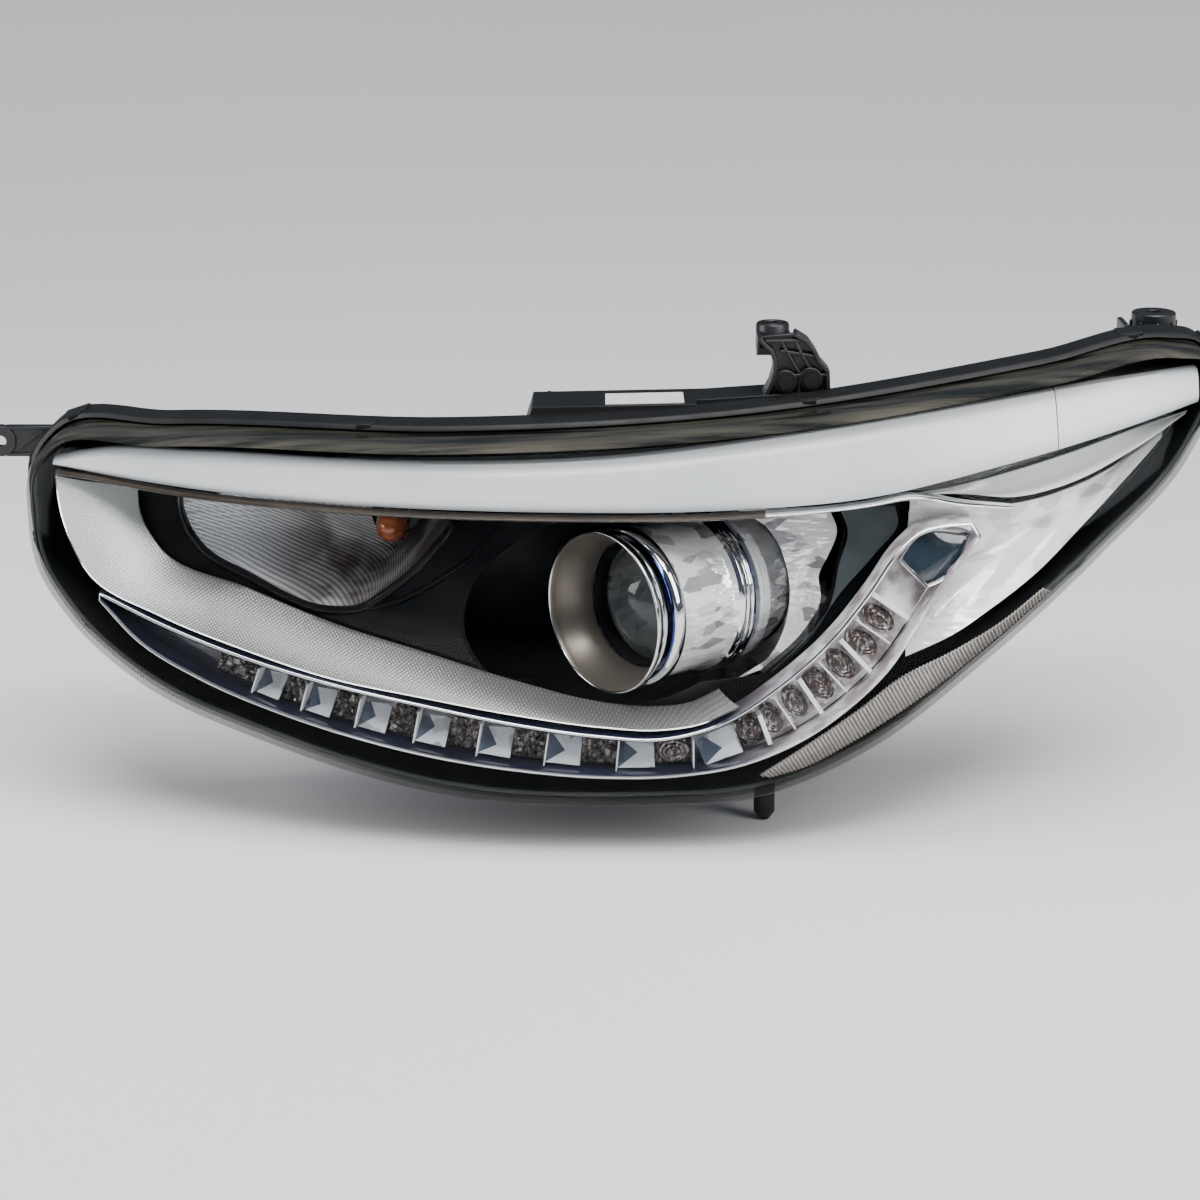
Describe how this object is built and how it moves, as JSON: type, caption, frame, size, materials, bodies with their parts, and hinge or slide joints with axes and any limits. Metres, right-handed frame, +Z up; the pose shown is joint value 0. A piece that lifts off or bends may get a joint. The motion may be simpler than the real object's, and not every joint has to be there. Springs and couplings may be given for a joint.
{
  "type": "car headlight",
  "caption": "Left projector headlight of a car: clear lens, white light bar, silver trim, indicator and running-light strip in a black housing",
  "frame": {"origin": "centre of the upper bracket's bolt hole", "axes": "+Z up; the car faces -Y; +X towards the fender side of the car, which is the lamp's high, swept-back end"},
  "size_m": [0.4937, 0.5824, 0.2755],
  "materials": {
    "housing": "fine moulded grain, satin black",
    "lens": "clear polycarbonate with a hard gloss coat",
    "lens_seal": "matt black",
    "main_bezel": "gloss black",
    "silver_trim": "fine-textured silver paint on plastic",
    "light_bar": "milky white light guide",
    "light_bar_trim": "bright metallised edge",
    "light_bar_carrier": "black",
    "light_bar_board": "green circuit board",
    "light_bar_leds": "yellowish light sources",
    "satin_fillet": "satin grey",
    "drl_frame": "bright metallised plastic",
    "drl_lens": "clear optics",
    "drl_reflector": "metallised plastic",
    "drl_board": "green circuit board",
    "drl_leds": "yellowish light sources",
    "end_window": "dark blue-grey",
    "outer_reflector": "metallised plastic",
    "ribbed_trim": "warm silver, ribbed",
    "turn_reflector": "metallised plastic with fine flutes",
    "projector_surround": "metallised plastic",
    "pivot_posts": "black",
    "leveller_motor": "black",
    "upper_bracket": "fine moulded grain",
    "outer_bracket": "fine moulded grain",
    "grille_tab": "fine moulded grain",
    "bracket_screws": "zinc plated",
    "locating_pin": "fine moulded grain",
    "drl_driver": "cast",
    "driver_screws": "zinc plated",
    "harness_connector": "black",
    "vent_caps": "matt dark grey",
    "blank_label": "white paper, blank",
    "aim_frame": "black",
    "trumpet": "satin warm grey",
    "barrel": "metallised plastic",
    "projector_lens": "polished glass",
    "lens_ring": "black",
    "lens_holder": "cast, matt",
    "projector_bowl": "cast, bright inside",
    "solenoid": "dark grey",
    "low_beam_bulb": "clear glass on a metal and plastic base",
    "shutter": "dull steel",
    "solenoid_plunger": "turned steel",
    "bulb_clip": "spring wire",
    "leveller_pushrod": "natural white",
    "vertical_adjuster": "ivory",
    "horizontal_adjuster": "ivory",
    "rear_cap_seal": "matt dark grey",
    "rear_cap": "black",
    "turn_seal": "matt black",
    "turn_socket": "grey plastic",
    "turn_bulb": "amber glass",
    "marker_seal": "matt black",
    "marker_socket": "grey plastic",
    "marker_bulb": "clear glass"
  },
  "bodies": {
    "housing": {"housing": "housing", "lens": "lens", "lens_seal": "lens_seal", "main_bezel": "main_bezel", "silver_trim": "silver_trim", "light_bar": "light_bar", "light_bar_trim": "light_bar_trim", "light_bar_carrier": "light_bar_carrier", "light_bar_board": "light_bar_board", "light_bar_leds": "light_bar_leds", "satin_fillet": "satin_fillet", "drl_frame": "drl_frame", "drl_lens": "drl_lens", "drl_reflector": "drl_reflector", "drl_board": "drl_board", "drl_leds": "drl_leds", "end_window": "end_window", "outer_reflector": "outer_reflector", "ribbed_trim": "ribbed_trim", "turn_reflector": "turn_reflector", "projector_surround": "projector_surround", "pivot_posts": "pivot_posts", "leveller_motor": "leveller_motor", "upper_bracket": "upper_bracket", "outer_bracket": "outer_bracket", "grille_tab": "grille_tab", "bracket_screws": "bracket_screws", "locating_pin": "locating_pin", "drl_driver": "drl_driver", "driver_screws": "driver_screws", "harness_connector": "harness_connector", "vent_caps": "vent_caps", "blank_label": "blank_label"},
    "aim_frame": {"aim_frame": "aim_frame"},
    "projector": {"trumpet": "trumpet", "barrel": "barrel", "projector_lens": "projector_lens", "lens_ring": "lens_ring", "lens_holder": "lens_holder", "projector_bowl": "projector_bowl", "solenoid": "solenoid", "low_beam_bulb": "low_beam_bulb"},
    "shutter": {"shutter": "shutter"},
    "plunger": {"solenoid_plunger": "solenoid_plunger"},
    "clip": {"bulb_clip": "bulb_clip"},
    "pushrod": {"leveller_pushrod": "leveller_pushrod"},
    "vertical_wheel": {"vertical_adjuster": "vertical_adjuster"},
    "side_screw": {"horizontal_adjuster": "horizontal_adjuster"},
    "cap_pull": {"rear_cap_seal": "rear_cap_seal"},
    "cap_turn": {"rear_cap": "rear_cap"},
    "turn_pull": {"turn_seal": "turn_seal"},
    "turn_twist": {"turn_socket": "turn_socket", "turn_bulb": "turn_bulb"},
    "marker_pull": {"marker_seal": "marker_seal"},
    "marker_twist": {"marker_socket": "marker_socket", "marker_bulb": "marker_bulb"}
  },
  "joints": [
    {"name": "vertical_aim", "type": "hinge", "parent": "housing", "child": "aim_frame", "pos_m": [-0.00025, -0.0183, -0.14], "axis": [1, 0, 0], "range_deg": [-2.5, 2.5]},
    {"name": "horizontal_aim", "type": "hinge", "parent": "aim_frame", "child": "projector", "pos_m": [-0.00025, -0.0183, -0.14], "axis": [0, 0, 1], "range_deg": [-2, 2]},
    {"name": "shutter_tilt", "type": "hinge", "parent": "projector", "child": "shutter", "pos_m": [-0.00025, -0.0548, -0.164], "axis": [1, 0, 0], "range_deg": [0, 15]},
    {"name": "plunger_slide", "type": "slide", "parent": "projector", "child": "plunger", "axis": [0, 1, 0], "range_m": [0, 0.0072]},
    {"name": "clip_swing", "type": "hinge", "parent": "projector", "child": "clip", "pos_m": [-0.01925, 0.0147, -0.14], "axis": [0, 0, 1], "range_deg": [0, 60]},
    {"name": "pushrod_slide", "type": "slide", "parent": "housing", "child": "pushrod", "axis": [0, 1, 0], "range_m": [-0.003, 0.003]},
    {"name": "vertical_screw", "type": "hinge", "parent": "housing", "child": "vertical_wheel", "pos_m": [-0.02825, 0.062, -0.23], "axis": [0, 0, 1], "range_deg": [-680, 680]},
    {"name": "side_screw_turn", "type": "hinge", "parent": "housing", "child": "side_screw", "pos_m": [-0.04225, 0.0197, -0.092], "axis": [0, 1, 0], "range_deg": [-360, 360]},
    {"name": "cap_pull", "type": "slide", "parent": "housing", "child": "cap_pull", "axis": [-0.7431, 0.6691, 0], "range_m": [0, 0.05]},
    {"name": "cap_turn", "type": "hinge", "parent": "cap_pull", "child": "cap_turn", "pos_m": [-0.0202, 0.06125, -0.137], "axis": [-0.7431, 0.6691, 0], "range_deg": [0, 40]},
    {"name": "turn_pull", "type": "slide", "parent": "housing", "child": "turn_pull", "axis": [-0.7431, 0.6691, 0], "range_m": [0, 0.075]},
    {"name": "turn_twist", "type": "hinge", "parent": "turn_pull", "child": "turn_twist", "pos_m": [-0.16549, -0.14165, -0.105], "axis": [-0.7431, 0.6691, 0], "range_deg": [0, 40]},
    {"name": "marker_pull", "type": "slide", "parent": "housing", "child": "marker_pull", "axis": [-0.7431, 0.6691, 0], "range_m": [0, 0.065]},
    {"name": "marker_twist", "type": "hinge", "parent": "marker_pull", "child": "marker_twist", "pos_m": [0.05132, 0.15025, -0.095], "axis": [-0.7431, 0.6691, 0], "range_deg": [0, 40]}
  ],
  "couplings": [
    {"joint": "pushrod_slide", "follows": "vertical_aim", "m_per_rad": 0.063},
    {"joint": "vertical_screw", "follows": "vertical_aim", "ratio": 264},
    {"joint": "side_screw_turn", "follows": "horizontal_aim", "ratio": 176},
    {"joint": "plunger_slide", "follows": "shutter_tilt", "m_per_rad": 0.02636}
  ]
}
